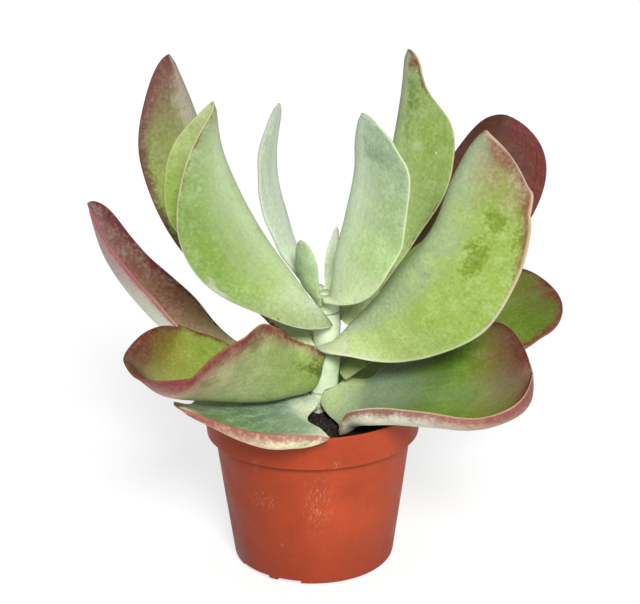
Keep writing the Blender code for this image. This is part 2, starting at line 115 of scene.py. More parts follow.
# Each leaf has a midrib from the stem through a few points, and a front and a back half.
# heading: direction in which the leaf leaves the stem, degrees from +X. foot: height where it does.
# width: half width, angle: slope of the half (up is positive), curl: extra turn of the margin,
# all as (share of the length, value). tip: where the end starts to round off, blunt: how square it is.
# hook: how close to the margin the curl stays. over_rim: the leaf lies over the pot's rim.
# thick and bend: own values for LEAF_THICK and BEND_WIDTH.
LEAVES = {
    "leaf_pair1_left": dict(
        heading=205, foot=92, hook=9, over_rim=True,
        midrib=[(-20, -14, 92), (-36, -25, 94), (-54, -36, 98), (-70, -46, 105)],
        front=dict(width=[(0, 5), (.1, 13), (.2, 27), (.31, 56), (.45, 64), (.7, 57), (.87, 34), (1, 16)],
                   angle=[(0, 0), (.25, -2), (1, -4)],
                   curl=[(0, 0), (.24, 0), (.34, 60), (.45, 110), (1, 110)], tip=.8),
        back=dict(width=[(0, 9), (.3, 20), (.6, 27), (.85, 22), (1, 13)], angle=[(0, -12)], tip=.8)),
    "leaf_pair1_right": dict(
        heading=25, foot=94, blunt=2.7,
        midrib=[(49, 25, 97), (81, 38, 107), (110, 50, 125), (139, 58, 133)],
        front=dict(width=[(0, 8), (.3, 22), (.6, 34), (.85, 38), (1, 34)], angle=[(0, -10)], tip=.8),
        back=dict(width=[(0, 8), (.3, 22), (.6, 34), (.85, 34), (1, 30)], angle=[(0, 18)], tip=.8)),
    "leaf_pair2_left": dict(
        heading=160, foot=113,
        midrib=[(-34, 18, 101), (-68, 28, 112), (-95, 36, 135), (-113, 41, 161), (-122, 45, 191)],
        front=dict(width=[(0, 8), (.3, 18), (.6, 30), (.85, 27), (1, 16)],
                   angle=[(0, 10), (.5, 46), (1, 40)], tip=.75),
        back=dict(width=[(0, 8), (.3, 18), (.55, 28), (.8, 22), (1, 20)],
                  angle=[(0, 20), (.5, 31), (1, 30)], tip=.75)),
    "leaf_pair2_right": dict(
        heading=-20, foot=98, blunt=3.2,
        midrib=[(23, -10, 95), (36, -19, 98), (64, -34, 103), (92, -42, 109), (113, -46, 123)],
        front=dict(width=[(0, 10), (.05, 11), (.1, 17), (.17, 33), (.25, 42), (.45, 44), (.6, 44), (.85, 45),
                          (1, 42)],
                   angle=[(0, -5), (.12, -22), (.3, -12), (.6, -15), (.8, -24), (1, -30)],
                   curl=[(0, 0), (.14, 0), (.25, 95), (.3, 100), (1, 92)], tip=.86),
        back=dict(width=[(0, 9), (.1, 18), (.28, 37), (.6, 50), (.85, 54), (1, 52)],
                  angle=[(0, 20), (.6, 26), (1, 30)], tip=.8)),
    "leaf_pair3_left": dict(
        heading=195, foot=98, blunt=3.4,
        midrib=[(-23, -22, 100), (-51, -34, 105), (-78, -42, 113), (-96, -46, 133)],
        front=dict(width=[(0, 15.8), (.05, 22), (.1, 28), (.2, 36), (.32, 46), (.42, 51.5), (.55, 48),
                          (.8, 42), (1, 40)],
                   angle=[(0, 62), (.1, 80), (.35, 75), (.6, 46), (.8, 14), (1, 0)],
                   curl=[(0, 0), (.6, 30), (.85, 72), (1, -10)], tip=.8),
        back=dict(width=[(0, 10), (.3, 35), (.6, 43), (.85, 42), (1, 44)],
                  angle=[(0, 4), (.3, 30), (.5, 38), (1, 50)], tip=.66)),
    "leaf_pair3_right": dict(
        heading=20, foot=106, blunt=2.6,
        midrib=[(46, 18, 141), (73, 28, 176), (95, 36, 208), (109, 42, 237)],
        front=dict(width=[(0, 9), (.3, 22), (.6, 34), (.85, 36), (1, 38)],
                   angle=[(0, -40), (.5, -50), (1, -50)], tip=.7),
        back=dict(width=[(0, 8), (.3, 20), (.6, 28), (.85, 30), (1, 32)],
                  angle=[(0, -30), (.5, 8), (1, 12)], tip=.7)),
    "leaf_pair4_left": dict(
        heading=150, foot=124,
        midrib=[(-27, 16, 148), (-44, 30, 178), (-56, 40, 215), (-66, 47, 246), (-76, 52, 271)],
        front=dict(width=[(0, 10), (.05, 12), (.1, 12.3), (.16, 11.5), (.21, 13), (.27, 20), (.33, 24.2),
                          (.6, 36), (.85, 32), (1, 24)],
                   angle=[(0, -20), (.5, -48), (1, -48)], tip=.7),
        back=dict(width=[(0, 8), (.3, 20), (.6, 36), (.85, 32), (1, 20)], angle=[(0, -40), (1, -60)],
                  tip=.7)),
    "leaf_pair4_right": dict(
        heading=-27, foot=124,
        midrib=[(21, -10, 134), (32, -17, 146), (48, -29, 170), (63, -39, 196), (73, -46, 226),
                (80, -48, 240), (87, -49, 249)],
        front=dict(width=[(0, 14), (.06, 16), (.12, 23), (.25, 38), (.42, 50), (.62, 48.5), (.74, 45),
                          (.86, 43), (1, 52)],
                   angle=[(0, 0), (.12, -70), (.25, -90), (.4, -95), (1, -105)], tip=.66, blunt=3.6),
        back=dict(width=[(0, 5), (.1, 8), (.3, 22), (.6, 34), (.85, 24), (1, 10)],
                  angle=[(0, -12), (.35, 16), (.6, -8), (1, -10)], tip=.75)),
    "leaf_pair5_left": dict(
        heading=215, foot=140,
        midrib=[(-7, -17, 160), (-24, -25, 188), (-37, -32, 216), (-45, -37, 241), (-47, -39, 263)],
        front=dict(width=[(0, 12), (.2, 25), (.45, 40), (.7, 34), (.9, 16), (1, 9)],
                   angle=[(0, -30), (.12, -70), (.3, -100), (1, -90)], tip=.8),
        back=dict(width=[(0, 8), (.3, 28), (.6, 42), (.85, 26), (1, 9)],
                  angle=[(0, -40), (.5, -46), (1, -65)], tip=.8)),
    "leaf_pair5_right": dict(
        heading=35, foot=135,
        midrib=[(29, 21, 162), (41, 32, 194), (48, 40, 225), (52, 46, 249), (54, 50, 273)],
        front=dict(width=[(0, 11), (.12, 16), (.35, 25), (.6, 35), (.76, 29), (.86, 14), (.94, 9), (1, 7)],
                   angle=[(0, -20), (1, -35)], tip=.94),
        back=dict(width=[(0, 8), (.35, 22), (.65, 30), (.85, 20), (1, 8)], angle=[(0, -40), (1, -55)],
                  tip=.8)),
    "leaf_pair6_left": dict(
        heading=145, foot=149,
        midrib=[(-4, 11, 160), (-14, 18, 184), (-20, 24, 216), (-16, 30, 248)],
        front=dict(width=[(0, 3), (.5, 22), (.8, 17), (1, 10)], angle=[(0, 0), (.5, 14), (1, 0)], tip=.6),
        back=dict(width=[(0, 4), (.5, 26), (.8, 22), (1, 14)], angle=[(0, -35)], tip=.6)),
    "leaf_pair6_right": dict(
        heading=-40, foot=149,
        midrib=[(14, -15, 173), (20, -21, 202), (24, -25, 227), (24, -27, 241), (26, -28, 254)],
        front=dict(width=[(0, 5.5), (.08, 14), (.2, 29), (.45, 39), (.7, 38), (1, 40)],
                   angle=[(0, -30), (.15, -70), (.4, -85), (1, -85)], tip=.7, blunt=2.3),
        back=dict(width=[(0, 5), (.15, 12), (.3, 23), (.6, 27), (1, 20)], angle=[(0, -40), (1, -25)],
                  tip=.7)),
    "leaf_pair7_left": dict(
        heading=232, foot=146, thick=2.6, bend=6,
        midrib=[(-1, -9, 159), (-3, -11, 172), (-5, -12, 184)],
        front=dict(width=[(0, 1.5), (.5, 6.8), (1, 6)], angle=[(0, 10)], tip=.6),
        back=dict(width=[(0, 1.5), (.5, 6.8), (1, 6)], angle=[(0, 10)], tip=.6)),
    "leaf_pair7_right": dict(
        heading=60, foot=149, thick=2.4, bend=4,
        midrib=[(11, 9, 155), (12, 11, 169), (14, 13, 184)],
        front=dict(width=[(0, 3), (.4, 4.5), (1, 2)], angle=[(0, 0)], tip=.6),
        back=dict(width=[(0, 3), (.4, 4.5), (1, 2)], angle=[(0, 0)], tip=.6)),
}

# Share of a lit colour that is the surface's own, at the light of this scene
LEVEL = 0.7

# Colours are sRGB values from 0 to 255.
BLOOM = (206, 224, 192)
POT_DARK = (178, 68, 32)
POT_LIGHT = (197, 81, 42)
# Painted shade at the pot's foot
POT_FOOT_SHADE = (120, 30, 10)
# Painted shadow under the pot's rim band
RIM_SHADOW = (92, 34, 22)
SCUFF = (232, 164, 132)
STEM_DARK = (206, 226, 186)
STEM_LIGHT = (236, 246, 218)
STEM_FLECK = (160, 186, 130)
STEM_MARK = (124, 150, 104)
STEM_LEVEL = 0.95
MARK_LEVEL = 0.9
SOIL_COLOURS = [(0.3, (24, 20, 16)), (0.55, (52, 44, 36)), (0.68, (100, 94, 80)), (0.75, (164, 160, 142))]

# Pot's painted shade, in metres: x of its most lit strip and the distances over which painted side shade
# grows, the height of the painted shade at the foot, and the painted shadow line under the rim band as it
# comes and goes
PAINTED_LIT_X = 0.014
SIDE_SHADE_FROM = 0.008
SIDE_SHADE_TO = 0.062
FOOT_SHADE_TOP = 0.055
RIM_SHADOW_HEIGHTS = (0.0722, 0.0728, 0.0736, 0.0740)

# Scuffed places on the front of the pot: middle x and z, half width and half height, in metres
SCUFFS = [(0.002, 0.051, 0.011, 0.022), (-0.027, 0.050, 0.009, 0.007), (-0.017, 0.025, 0.002, 0.002),
          (0.012, 0.075, 0.003, 0.008), (-0.030, 0.072, 0.003, 0.006)]

# Leaf pattern: sizes of its noises from coarse to fine, in waves per metre
PATCH_SCALE = 30
MOTTLE_SCALE = 125
FLECK_SCALE = 420
GRAIN_SCALE = 560

# How each leaf looks. upper and lower: colours along the face from the stem to the tip, as
# (share of the length, colour). level: own value for LEVEL. keel: band along the midrib (colour, reach,
# strength), keel_fade: how softly it ends. powder: strength of the pale bloom. line: colours of the margin
# near the stem and near the tip, line_mm: its width. blush: another colour along a margin (face, half,
# colour, width in mm at the stem, width in mm at the tip, strength). Where a width is below 0, the blush
# starts further out.
LOOKS = {
    "leaf_pair1_left": dict(
        level=0.95,
        upper=[(0, (222, 232, 206)), (.25, (164, 184, 160)), (.5, (124, 150, 116)), (.75, (112, 142, 86)),
               (.92, (124, 124, 78)), (1, (130, 100, 78))],
        lower=[(0, (226, 234, 196)), (.5, (226, 226, 184)), (.8, (206, 178, 148)), (1, (150, 108, 96))],
        # The dark keel band is partly the leaf's own colour and partly painted shadow of the leaf that lies
        # over it.
        keel=((98, 124, 96), .5, .5), powder=.2, line=((222, 214, 176), (170, 100, 84)),
        blush=[("upper", "front", (214, 222, 194), 32, 8, .9),
               ("lower", "front", (150, 78, 72), 4, 9, .85)]),
    "leaf_pair1_right": dict(
        upper=[(0, (130, 156, 70)), (.5, (112, 142, 36)), (.8, (114, 144, 38)), (.95, (112, 118, 42)),
               (1, (118, 76, 44))],
        lower=[(0, (200, 214, 160)), (1, (170, 150, 100))],
        keel=(BLOOM, .3, .1), powder=.05, line=((176, 150, 100), (150, 80, 60)),
        blush=[("upper", "front", (124, 62, 42), 3, 8, .95), ("upper", "back", (108, 46, 36), 3, 8, .95)]),
    "leaf_pair2_left": dict(
        level=1.0,
        upper=[(0, (215, 215, 168)), (.3, (222, 206, 156)), (.48, (170, 140, 106)), (.64, (122, 78, 62)),
               (.85, (120, 80, 78)), (1, (142, 98, 100))],
        lower=[(0, (214, 226, 196)), (.55, (208, 218, 194)), (.8, (168, 148, 142)), (1, (116, 74, 78))],
        keel=(BLOOM, .35, .12), powder=.12, line=((196, 142, 132), (150, 84, 88)), line_mm=.4,
        blush=[("upper", "back", (96, 40, 34), -2, 9, .8), ("lower", "front", (190, 138, 132), 6, 18, .6),
               ("lower", "front", (142, 68, 76), 1, 12, .85)]),
    "leaf_pair2_right": dict(
        upper=[(0, (214, 228, 168)), (.08, (194, 212, 150)), (.18, (152, 174, 138)), (.34, (128, 154, 102)),
               (.48, (104, 140, 36)), (.66, (116, 150, 38)), (.8, (138, 138, 60)), (.92, (140, 98, 66)),
               (1, (130, 76, 58))],
        lower=[(0, (228, 236, 190)), (.5, (238, 240, 218)), (.85, (200, 160, 134)), (1, (156, 116, 92))],
        keel=((176, 194, 158), .5, .25), powder=.06, line=((232, 224, 184), (212, 170, 140)),
        blush=[("lower", "front", (156, 78, 72), 3, 12, .88), ("upper", "back", (116, 54, 44), 0, 9, .85),
               ("upper", "front", (128, 76, 56), 0, 7, .75)]),
    "leaf_pair3_left": dict(
        upper=[(0, (160, 186, 80)), (.4, (140, 168, 64)), (.6, (156, 173, 66)), (.72, (160, 164, 66)),
               (.82, (148, 134, 54)), (.92, (124, 76, 42)), (1, (112, 58, 42))],
        lower=[(0, (158, 190, 88)), (.15, (164, 188, 102)), (.35, (182, 198, 130)), (.58, (212, 210, 160)),
               (.76, (212, 182, 150)), (.9, (172, 112, 102)), (1, (156, 90, 86))],
        keel=(BLOOM, .4, .15), powder=.08, line=((186, 128, 92), (150, 64, 62)),
        blush=[("lower", "front", (178, 112, 108), 3, 40, .6),
               ("lower", "front", (138, 48, 54), -1, 25, .9),
               ("upper", "back", (120, 58, 42), 2, 7, .85), ("upper", "front", (148, 92, 52), 3, 6, .85)]),
    "leaf_pair3_right": dict(
        level=0.72,
        upper=[(0, (170, 190, 120)), (.4, (124, 118, 72)), (.65, (114, 76, 54)), (1, (100, 52, 38))],
        lower=[(0, (180, 196, 140)), (1, (140, 90, 76))],
        keel=((128, 92, 82), .5, .35), powder=.03, line=((190, 196, 150), (116, 48, 44)),
        blush=[("upper", "front", (116, 34, 30), -6, 20, .85), ("upper", "back", (104, 50, 46), 4, 9, .6)]),
    "leaf_pair4_left": dict(
        upper=[(0, (244, 250, 210)), (.15, (210, 224, 150)), (.32, (146, 170, 70)), (.58, (148, 174, 72)),
               (.76, (134, 142, 70)), (.88, (124, 98, 64)), (1, (114, 66, 52))],
        lower=[(0, (196, 212, 160)), (1, (150, 120, 96))],
        keel=((206, 192, 178), .3, .65), keel_fade=.3, powder=.1, line=((150, 130, 90), (104, 62, 52)),
        blush=[("upper", "front", (108, 56, 46), 0, 11, .9)]),
    "leaf_pair4_right": dict(
        upper=[(0, (238, 246, 210)), (.14, (192, 216, 128)), (.35, (172, 202, 94)), (.7, (168, 196, 90)),
               (.84, (160, 164, 90)), (1, (150, 110, 88))],
        lower=[(0, (190, 206, 140)), (1, (170, 150, 110))],
        keel=((186, 206, 172), .4, .6), keel_fade=.34, powder=.2,
        # Its margin line is the leaf's own cream, made brighter and wider as painted light on the edge that
        # faces down.
        line=((255, 255, 222), (228, 204, 164)), line_mm=2.2,
        blush=[("upper", "front", (140, 76, 62), -10, 14, .85)]),
    "leaf_pair5_left": dict(
        upper=[(0, (250, 254, 234)), (.14, (230, 242, 200)), (.3, (160, 190, 96)), (.48, (138, 170, 64)),
               (.7, (150, 180, 96)), (.88, (160, 182, 124)), (1, (166, 160, 130))],
        lower=[(0, (160, 190, 86)), (.7, (172, 198, 90)), (1, (188, 198, 138))],
        keel=((228, 240, 212), .75, .55), powder=.14, line=((240, 244, 204), (206, 216, 150)), line_mm=.9,
        blush=[("upper", "front", (146, 174, 92), 24, 0, .7),
               ("upper", "front", (138, 92, 74), -4, 3.2, .75)]),
    "leaf_pair5_right": dict(
        upper=[(0, (214, 232, 164)), (.3, (176, 200, 120)), (.7, (150, 178, 84)), (.88, (146, 168, 98)),
               (1, (172, 164, 134))],
        lower=[(0, (196, 212, 160)), (1, (170, 180, 120))],
        keel=((204, 216, 188), .5, .55), powder=.12, line=((236, 240, 184), (206, 212, 150)), line_mm=.7,
        blush=[("upper", "front", (132, 84, 66), -16, 5, .85)]),
    "leaf_pair6_left": dict(
        level=0.85,
        upper=[(0, (226, 240, 210)), (.4, (212, 226, 200)), (.75, (194, 208, 182)), (1, (200, 206, 192))],
        lower=[(0, (226, 240, 206)), (.5, (214, 228, 198)), (1, (198, 210, 182))],
        keel=((240, 246, 234), .45, .75), powder=.3, line=((214, 226, 200), (188, 184, 168)), blush=[]),
    "leaf_pair6_right": dict(
        level=0.8,
        upper=[(0, (250, 255, 222)), (.2, (222, 240, 186)), (.4, (180, 206, 138)), (.6, (176, 200, 144)),
               (.85, (162, 186, 146)), (1, (156, 176, 146))],
        lower=[(0, (200, 216, 160)), (1, (190, 206, 166))],
        keel=((226, 238, 220), .62, .7), powder=.22, line=((224, 236, 184), (214, 228, 180)), blush=[]),
    "leaf_pair7_left": dict(
        level=0.84,
        upper=[(0, (220, 234, 180)), (.5, (190, 212, 156)), (1, (180, 200, 156))],
        lower=[(0, (208, 222, 156)), (.4, (180, 206, 144)), (1, (174, 196, 148))],
        keel=(BLOOM, .5, .2), powder=.2, line=((196, 212, 164), (190, 206, 166)), blush=[]),
    "leaf_pair7_right": dict(
        level=1.1,
        upper=[(0, (230, 242, 200)), (.5, (228, 238, 208)), (1, (234, 240, 222))],
        lower=[(0, (220, 234, 190)), (.5, (214, 226, 194)), (1, (212, 220, 198))],
        keel=(BLOOM, .5, .2), powder=.2, line=((226, 236, 206), (206, 200, 184)), blush=[]),
}

# Spots: (face, place along, place across, half length, half width, colour, strength), with places from
# 0 at the stem to 1 at the tip, and from -1 at the back margin to 1 at the front one
MOSS = (130, 158, 26)
SCAR = (232, 236, 214)
BROWN = (150, 122, 74)
SPOTS = {
    "leaf_pair2_left": [("upper", .62, .3, .03, .1, (176, 150, 120), .4)],
    "leaf_pair3_left": [
        ("lower", .07, .62, .06, .14, (106, 124, 34), .9), ("lower", .43, .97, .02, .05, BROWN, .8),
        ("lower", .32, .97, .015, .04, BROWN, .8), ("lower", .43, .8, .022, .09, BROWN, .55),
        ("lower", .62, .55, .06, .12, (160, 140, 96), .5)],
    "leaf_pair4_right": [
        ("upper", .735, .59, .032, .11, MOSS, .8), ("upper", .7, .85, .028, .05, MOSS, .7),
        ("upper", .6, .5, .045, .09, MOSS, .8), ("upper", .63, .42, .02, .06, MOSS, .6)],
    "leaf_pair5_left": [("upper", .385, .97, .045, .035, SCAR, .6), ("upper", .42, .9, .02, .03, SCAR, .4)],
    "leaf_pair5_right": [
        ("upper", .965, .7, .035, .4, (128, 72, 56), .8), ("upper", .85, .35, .06, .16, (100, 130, 44), .6),
        ("upper", .74, .2, .08, .1, (104, 134, 48), .6), ("upper", .67, .38, .02, .1, SCAR, .3),
        ("upper", .653, .71, .004, .014, (252, 252, 244), .8)],
    "leaf_pair6_right": [("upper", .86, .42, .05, .2, (138, 160, 128), .6)],
}


def srgb(r, g, b, level=LEVEL):
    """Linear colour from the usual 0 to 255 values as lit, with a level for the light that falls on it."""
    return tuple(level * ((c / 255 + 0.055) / 1.055) ** 2.4 for c in (r, g, b))


class Nodes:
    """Short calls for a material's node tree."""

    def __init__(self, name, roughness, specular):
        self.material = bpy.data.materials.new(name)
        self.material.use_nodes = True
        self.tree = self.material.node_tree
        self.shader = self.tree.nodes["Principled BSDF"]
        self.shader.inputs["Roughness"].default_value = roughness
        self.shader.inputs["Specular IOR Level"].default_value = specular

    def link(self, value, socket):
        """Join a socket to another one, or set it to a number or a colour."""
        if isinstance(value, bpy.types.NodeSocket):
            self.tree.links.new(value, socket)
        elif isinstance(value, tuple):
            socket.default_value = (*value, 1.0)
        else:
            socket.default_value = value

    def node(self, kind, **settings):
        made = self.tree.nodes.new(kind)
        for key, value in settings.items():
            setattr(made, key, value)
        return made

    def attribute(self, name):
        return self.node("ShaderNodeAttribute", attribute_name=name).outputs["Fac"]

    def math(self, operation, a, b=0.0, c=0.0):
        made = self.node("ShaderNodeMath", operation=operation)
        for value, socket in zip((a, b, c), made.inputs):
            self.link(value, socket)
        return made.outputs[0]

    def total(self, start, *terms):
        """A start value plus other values, each with its factor."""
        for value, factor in terms:
            start = self.math("MULTIPLY_ADD", value, factor, start)
        return start

    def centred(self, value):
        """A value from 0 to 1 moved to lie round 0."""
        return self.math("SUBTRACT", value, 0.5)

    def darkened(self, colour, shade):
        """A colour times one shade for all its parts."""
        return self.mix(1.0, colour, self.vector(shade, shade, shade), "MULTIPLY")

    def smooth(self, value, low, high, out_low=0.0, out_high=1.0):
        """Soft step from one output to the other as the value goes from low to high."""
        made = self.node("ShaderNodeMapRange", interpolation_type="SMOOTHSTEP")
        for item, socket in zip((value, low, high, out_low, out_high), made.inputs):
            self.link(item, socket)
        return made.outputs[0]

    def mix(self, factor, a, b, blend="MIX"):
        made = self.node("ShaderNodeMix", data_type="RGBA", blend_type=blend)
        self.link(factor, made.inputs[0])
        self.link(a, made.inputs[6])
        self.link(b, made.inputs[7])
        return made.outputs[2]

    def ramp(self, value, stops):
        made = self.node("ShaderNodeValToRGB")
        elements = made.color_ramp.elements
        while len(elements) < len(stops):
            elements.new(0.5)
        for element, (place, colour) in zip(elements, stops):
            element.position = place
            element.color = (*colour, 1.0)
        self.link(value, made.inputs[0])
        return made.outputs[0]

    def noise(self, scale, detail, vector=None, distortion=0.0):
        made = self.node("ShaderNodeTexNoise")
        made.inputs["Scale"].default_value = scale
        made.inputs["Detail"].default_value = detail
        made.inputs["Distortion"].default_value = distortion
        self.link(vector or self.place(), made.inputs["Vector"])
        return made.outputs["Fac"]

    def place(self):
        return self.node("ShaderNodeTexCoord").outputs["Object"]

    def xyz(self):
        split = self.node("ShaderNodeSeparateXYZ")
        self.link(self.place(), split.inputs[0])
        return split.outputs

    def vector(self, x, y, z):
        made = self.node("ShaderNodeCombineXYZ")
        for value, socket in zip((x, y, z), made.inputs):
            self.link(value, socket)
        return made.outputs[0]

    def bump(self, height, distance, strength):
        made = self.node("ShaderNodeBump")
        made.inputs["Distance"].default_value = distance
        made.inputs["Strength"].default_value = strength
        self.link(height, made.inputs["Height"])
        self.link(made.outputs[0], self.shader.inputs["Normal"])


def leaf_fields(n, seed):
    """The values that a leaf's pattern is made of: its own coordinates and noises from coarse to fine."""
    along, across = n.attribute("along"), n.attribute("across")
    lengthwise = n.vector(n.math("MULTIPLY", along, 3.0), n.math("MULTIPLY", across, 22.0), seed)
    field = {
        "along": along, "across": across, "margin": n.attribute("margin"), "upper": n.attribute("upper"),
        "patch": n.centred(n.noise(PATCH_SCALE, 4)),
        "mottle": n.centred(n.noise(MOTTLE_SCALE, 5, distortion=0.4)),
        "grain": n.centred(n.noise(GRAIN_SCALE, 4)), "streak": n.centred(n.noise(1, 4, lengthwise))}
    field["rag"] = n.total(0.0, (field["patch"], 0.5), (field["mottle"], 1.2), (field["grain"], 0.8),
                           (field["streak"], 0.6))
    return field


def face_colour(n, name, face, field):
    """Colour of one face of a leaf: its green, the keel, the blush at the margins and its spots."""
    look = LOOKS[name]
    level = look.get("level", LEVEL)
    shifted = n.total(field["along"], (field["patch"], 0.3), (field["mottle"], 0.2))
    colour = n.ramp(shifted, [(place, srgb(*rgb, level)) for place, rgb in look[face]])
    colour = n.mix(keel_amount(n, look, field), colour, srgb(*look["keel"][0], level))
    for kind, half, rgb, low, high, strength in look["blush"]:
        if kind == face:
            amount = blush_amount(n, field, half, low, high, strength)
            colour = n.mix(amount, colour, srgb(*rgb, level))
    for kind, *place, rgb, strength in SPOTS.get(name, []):
        if kind == face:
            far = n.total(off_place(n, field["along"], field["across"], place), (field["rag"], 2.2))
            colour = n.mix(n.smooth(far, 1.5, 0.3, 0.0, strength), colour, srgb(*rgb, level))
    return colour


def keel_amount(n, look, field):
    """Band along the midrib with a ragged edge."""
    reach, strength = look["keel"][1:]
    fade = look.get("keel_fade", reach + 0.1)
    off_keel = n.total(n.math("ABSOLUTE", field["across"]), (field["rag"], 0.5), (field["patch"], 0.4))
    return n.smooth(off_keel, reach, reach - fade, 0.0, strength)


def blush_amount(n, field, half, low, high, strength):
    """Blush that is strongest at one margin and fades over a width that changes along the leaf."""
    facing = n.math("MULTIPLY", field["across"], 1.0 if half == "front" else -1.0)
    width = n.math("MULTIPLY_ADD", field["along"], float(high - low), float(low))
    width = n.math("MAXIMUM", width, 0.01)
    from_margin = n.total(field["margin"], (field["rag"], 5.0))
    amount = n.smooth(from_margin, width, n.math("MULTIPLY", width, 0.1), 0.0, strength)
    return n.math("MULTIPLY", amount, n.smooth(facing, 0.0, 0.35))


def leaf_material(name, seed):
    """Matt leaf with its own colours on each face, a powdery bloom, fine flecks and a thin margin line."""
    look = LOOKS[name]
    level = look.get("level", LEVEL)
    n = Nodes(name, 0.55, 0.25)
    field = leaf_fields(n, seed)
    lower, upper = (face_colour(n, name, face, field) for face in ("lower", "upper"))
    colour = n.mix(field["upper"], lower, upper)
    powder = n.smooth(n.total(field["mottle"], (field["grain"], 1.0)), -0.1, 0.3, 0.0, look["powder"])
    colour = n.mix(powder, colour, srgb(*BLOOM, level))
    flecks = n.smooth(n.noise(FLECK_SCALE, 4), 0.58, 0.7, 1.0, 0.86)
    shade = n.total(flecks, (field["patch"], 0.35), (field["mottle"], 0.5), (field["grain"], 0.55))
    colour = n.darkened(colour, shade)
    line = n.mix(n.smooth(field["along"], 0.35, 0.75), *(srgb(*rgb, level) for rgb in look["line"]))
    from_margin = n.total(field["margin"], (field["grain"], 1.0))
    edge = n.smooth(from_margin, look.get("line_mm", 0.6), 0.2, 0.0, 0.85)
    n.link(n.mix(edge, colour, line), n.shader.inputs["Base Color"])
    n.link(n.smooth(field["mottle"], -0.2, 0.2, 0.48, 0.66), n.shader.inputs["Roughness"])
    n.bump(n.total(field["mottle"], (field["grain"], 0.5), (field["streak"], 0.7)), 0.0008, 0.4)
    add_flesh(n)
    return n.material


def add_flesh(n):
    """Let a little light through the outer tissue, as in a juicy leaf or stem."""
    n.shader.inputs["Subsurface Weight"].default_value = 0.12
    n.shader.inputs["Subsurface Radius"].default_value = (0.6, 1.0, 0.3)
    n.shader.inputs["Subsurface Scale"].default_value = 0.002


def pot_material():
    """Saturated terracotta-coloured plastic, with painted shade at the sides, the foot and under the rim
    band, and scuffs on the front.
    """
    n = Nodes("pot_plastic", 0.55, 0.2)
    patch, cloud = n.centred(n.noise(14, 3)), n.centred(n.noise(70, 5))
    x, y, z = n.xyz()
    colour = n.mix(n.smooth(patch, -0.15, 0.15), srgb(*POT_DARK), srgb(*POT_LIGHT))
    # Painted side shade: the pot gets darker away from its most lit strip, as the light falls off round it.
    from_lit_strip = n.math("ABSOLUTE", n.math("SUBTRACT", x, PAINTED_LIT_X))
    sides = n.smooth(n.total(from_lit_strip, (patch, 0.01)), SIDE_SHADE_FROM, SIDE_SHADE_TO, 1.0, 0.74)
    shade = n.total(sides, (cloud, 0.4), (n.centred(n.noise(500, 3)), 0.25))
    colour = n.darkened(colour, shade)
    # Painted shade: the pot gets darker towards its foot.
    colour = n.mix(n.smooth(z, FOOT_SHADE_TOP, 0.0, 0.0, 0.5), colour, srgb(*POT_FOOT_SHADE))
    # Painted shadow of the rim band on the body below it.
    colour = n.mix(painted_rim_shadow(n, z, cloud), colour, srgb(*RIM_SHADOW))
    in_front = n.math("LESS_THAN", y, 0.0)
    for place in SCUFFS:
        amount = n.math("MULTIPLY", n.smooth(off_place(n, x, z, place), 1.1, 0.2), rubbed(n, x, z))
        colour = n.mix(n.math("MULTIPLY", amount, in_front), colour, srgb(*SCUFF))
    n.link(colour, n.shader.inputs["Base Color"])
    n.link(n.smooth(cloud, -0.2, 0.2, 0.45, 0.65), n.shader.inputs["Roughness"])
    n.bump(n.noise(900, 2), 0.0002, 0.3)
    return n.material


def painted_rim_shadow(n, z, cloud):
    """Painted shadow: thin dark line under the rim band, where the band ends."""
    starts, full, fades, ends = RIM_SHADOW_HEIGHTS
    shadow_z = n.total(z, (cloud, 0.0008))
    line = n.math("MULTIPLY", n.smooth(shadow_z, starts, full), n.smooth(shadow_z, ends, fades))
    return n.math("MULTIPLY", line, 0.6)


def off_place(n, u, v, place):
    """Distance in two coordinates from the middle of a place, as a share of its own half size."""
    at_u, at_v, half_u, half_v = place
    du = n.math("DIVIDE", n.math("SUBTRACT", u, at_u), half_u)
    dv = n.math("DIVIDE", n.math("SUBTRACT", v, at_v), half_v)
    squares = n.math("ADD", n.math("MULTIPLY", du, du), n.math("MULTIPLY", dv, dv))
    return n.math("SQRT", squares)


def rubbed(n, x, z):
    """Short upright streaks, as plastic gets from rubbing."""
    streaks = n.noise(900, 4, n.vector(x, 0.0, n.math("MULTIPLY", z, 0.3)), 1.2)
    return n.smooth(streaks, 0.5, 0.72, 0.0, 0.5)


def soil_material():
    """Dark potting soil with a few pale specks."""
    n = Nodes("potting_soil", 0.95, 0.2)
    grain = n.noise(900, 4)
    colour = n.ramp(grain, [(place, srgb(*rgb)) for place, rgb in SOIL_COLOURS])
    n.link(colour, n.shader.inputs["Base Color"])
    n.bump(grain, 0.001, 0.8)
    return n.material


def stem_material():
    """Pale green stem with the thin marks that old leaves have left."""
    n = Nodes("pale_stem", 0.6, 0.25)
    x, _, z = n.xyz()
    cloud, fine = n.centred(n.noise(90, 4)), n.centred(n.noise(600, 3))
    pale, light = (srgb(*rgb, STEM_LEVEL) for rgb in (STEM_DARK, STEM_LIGHT))
    colour = n.mix(n.smooth(cloud, -0.15, 0.15), pale, light)
    colour = n.mix(n.smooth(fine, 0.08, 0.2, 0.0, 0.35), colour, srgb(*STEM_FLECK, MARK_LEVEL))
    for at_z, slope in LEAF_SCARS:
        level = n.total(z, (x, slope), (cloud, 0.002), (fine, 0.001))
        off_mark = n.math("ABSOLUTE", n.math("SUBTRACT", level, at_z))
        mark = n.smooth(off_mark, 0.0007, 0.0002, 0.0, 0.75)
        colour = n.mix(mark, colour, srgb(*STEM_MARK, MARK_LEVEL))
    n.link(colour, n.shader.inputs["Base Color"])
    n.bump(fine, 0.0004, 0.4)
    add_flesh(n)
    return n.material


